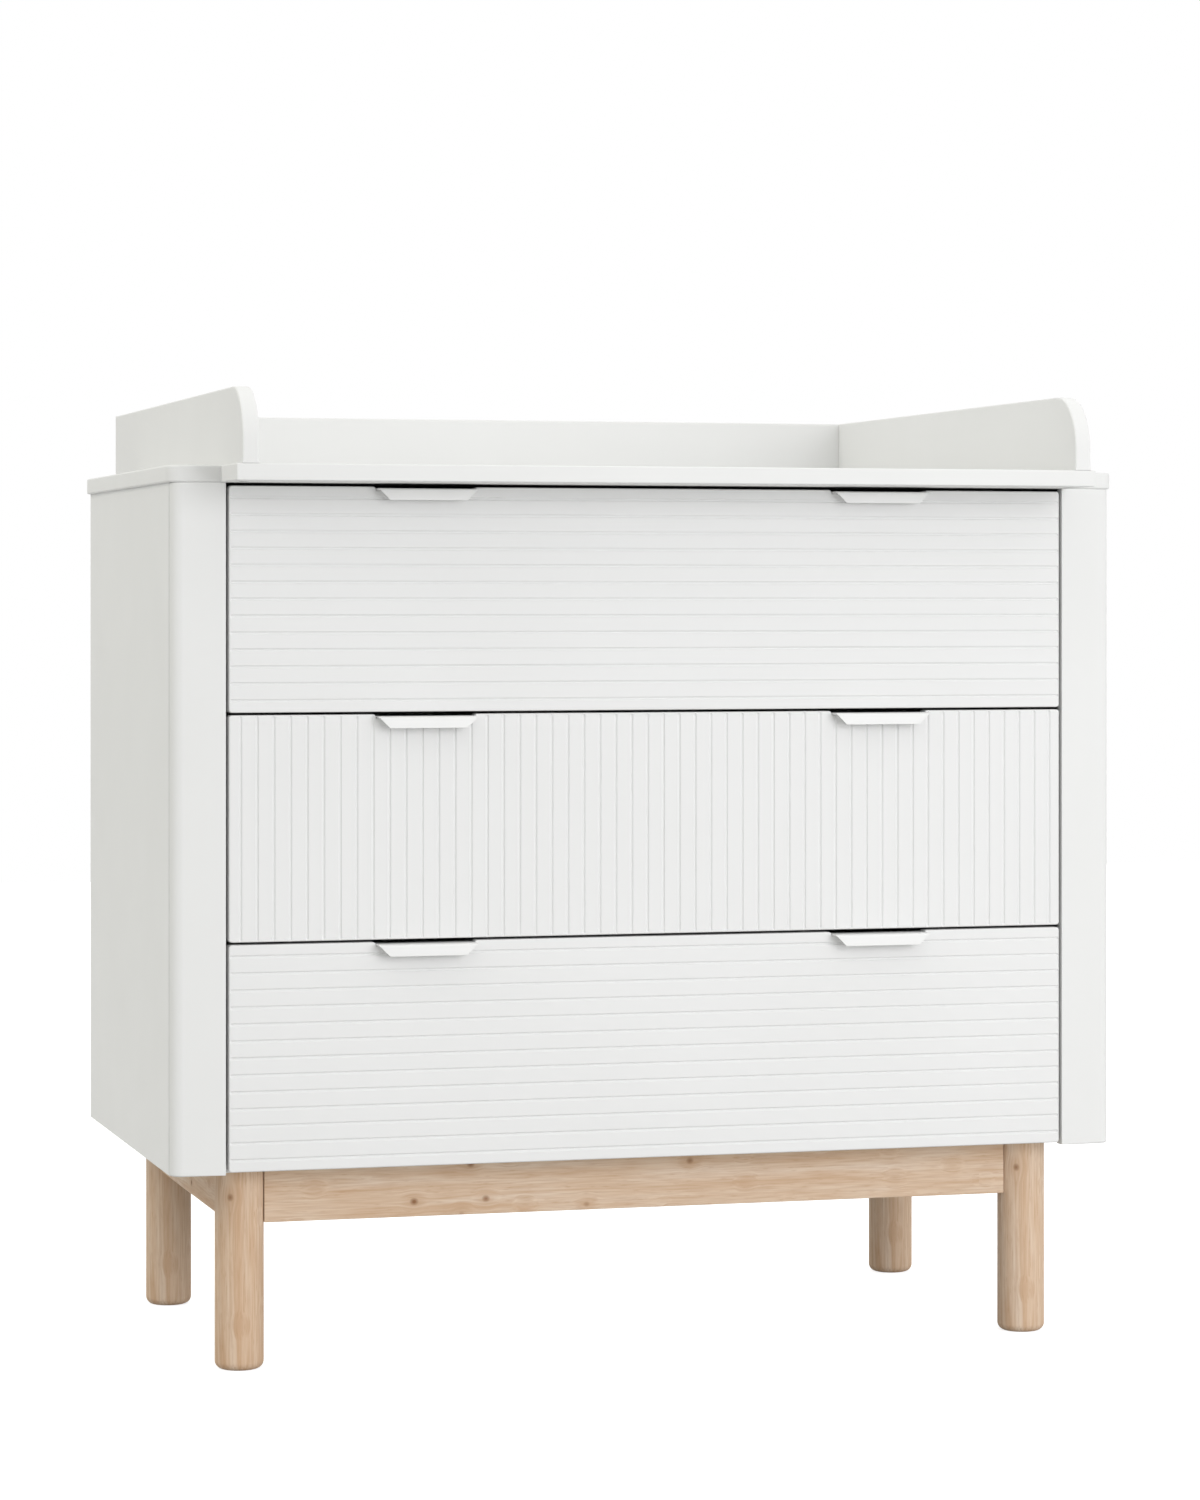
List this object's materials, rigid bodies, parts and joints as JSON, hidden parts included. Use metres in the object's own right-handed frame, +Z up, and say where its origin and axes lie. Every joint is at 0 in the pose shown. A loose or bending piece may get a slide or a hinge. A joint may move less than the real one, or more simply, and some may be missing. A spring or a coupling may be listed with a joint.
{
  "type": "chest of drawers",
  "caption": "Nursery chest of drawers on round wooden legs, with grooved lacquered fronts, bent edge pulls and a railed changing top that is open at the front.",
  "frame": {"origin": "on the floor, under the middle of the whole outline, changing top included", "axes": "+X to the right as seen from the front, +Y from the front to the back, +Z up"},
  "size_m": [0.9846, 0.7516, 0.9631],
  "materials": {
    "white_lacquer": "satin white lacquer on board",
    "front_lacquer": "satin white lacquer on milled board",
    "white_melamine": "fine-grained melamine on particle board",
    "white_hardboard": "painted thin hardboard",
    "beech": "clear matt oil on solid beech",
    "dowel_beech": "raw fluted beech",
    "pine": "planed softwood",
    "pull_enamel": "satin white powder coat",
    "zinc_plated_steel": "bright zinc plate",
    "screw_steel": "zinc plate",
    "cam_alloy": "die-cast zinc"
  },
  "bodies": {
    "cabinet": {"side_panel_left": "white_lacquer", "side_panel_right": "white_lacquer", "front_stile_left": "white_lacquer", "front_stile_right": "white_lacquer", "top_panel": "white_lacquer", "bottom_panel": "white_melamine", "back_panel": "white_hardboard", "leg_front_left": "beech", "leg_front_right": "beech", "leg_rear_left": "beech", "leg_rear_right": "beech", "apron_front": "beech", "apron_rear": "beech", "apron_left": "beech", "apron_right": "beech", "changer_rail_left": "white_lacquer", "changer_rail_right": "white_lacquer", "changer_back_rail": "white_lacquer", "changer_front_board": "white_lacquer", "changer_rear_board": "white_lacquer", "runner_battens": "pine", "runner_cabinet_channels": "zinc_plated_steel", "runner_screws": "screw_steel", "cam_locks": "cam_alloy", "cam_bolts": "screw_steel", "wooden_dowels": "dowel_beech", "wood_screws": "screw_steel", "leg_bolts": "screw_steel", "leg_inserts": "screw_steel"},
    "bottom_drawer": {"bottom_drawer_front": "front_lacquer", "bottom_drawer_side_left": "white_melamine", "bottom_drawer_side_right": "white_melamine", "bottom_drawer_back": "white_melamine", "bottom_drawer_bottom": "white_hardboard", "bottom_drawer_pull_left": "pull_enamel", "bottom_drawer_pull_right": "pull_enamel", "bottom_drawer_screws": "screw_steel", "bottom_drawer_runner_channels": "zinc_plated_steel"},
    "bottom_drawer_middle_channels": {"bottom_drawer_middle_channels": "zinc_plated_steel"},
    "middle_drawer": {"middle_drawer_front": "front_lacquer", "middle_drawer_side_left": "white_melamine", "middle_drawer_side_right": "white_melamine", "middle_drawer_back": "white_melamine", "middle_drawer_bottom": "white_hardboard", "middle_drawer_pull_left": "pull_enamel", "middle_drawer_pull_right": "pull_enamel", "middle_drawer_screws": "screw_steel", "middle_drawer_runner_channels": "zinc_plated_steel"},
    "middle_drawer_middle_channels": {"middle_drawer_middle_channels": "zinc_plated_steel"},
    "top_drawer": {"top_drawer_front": "front_lacquer", "top_drawer_side_left": "white_melamine", "top_drawer_side_right": "white_melamine", "top_drawer_back": "white_melamine", "top_drawer_bottom": "white_hardboard", "top_drawer_pull_left": "pull_enamel", "top_drawer_pull_right": "pull_enamel", "top_drawer_screws": "screw_steel", "top_drawer_runner_channels": "zinc_plated_steel"},
    "top_drawer_middle_channels": {"top_drawer_middle_channels": "zinc_plated_steel"}
  },
  "joints": [
    {"name": "bottom_drawer_slide", "type": "slide", "parent": "cabinet", "child": "bottom_drawer", "axis": [0, -1, 0], "range_m": [0, 0.43]},
    {"name": "bottom_drawer_channel_slide", "type": "slide", "parent": "cabinet", "child": "bottom_drawer_middle_channels", "axis": [0, -1, 0], "range_m": [0, 0.215]},
    {"name": "middle_drawer_slide", "type": "slide", "parent": "cabinet", "child": "middle_drawer", "axis": [0, -1, 0], "range_m": [0, 0.43]},
    {"name": "middle_drawer_channel_slide", "type": "slide", "parent": "cabinet", "child": "middle_drawer_middle_channels", "axis": [0, -1, 0], "range_m": [0, 0.215]},
    {"name": "top_drawer_slide", "type": "slide", "parent": "cabinet", "child": "top_drawer", "axis": [0, -1, 0], "range_m": [0, 0.43]},
    {"name": "top_drawer_channel_slide", "type": "slide", "parent": "cabinet", "child": "top_drawer_middle_channels", "axis": [0, -1, 0], "range_m": [0, 0.215]}
  ],
  "couplings": [
    {"joint": "bottom_drawer_channel_slide", "follows": "bottom_drawer_slide", "ratio": 0.5},
    {"joint": "middle_drawer_channel_slide", "follows": "middle_drawer_slide", "ratio": 0.5},
    {"joint": "top_drawer_channel_slide", "follows": "top_drawer_slide", "ratio": 0.5}
  ]
}
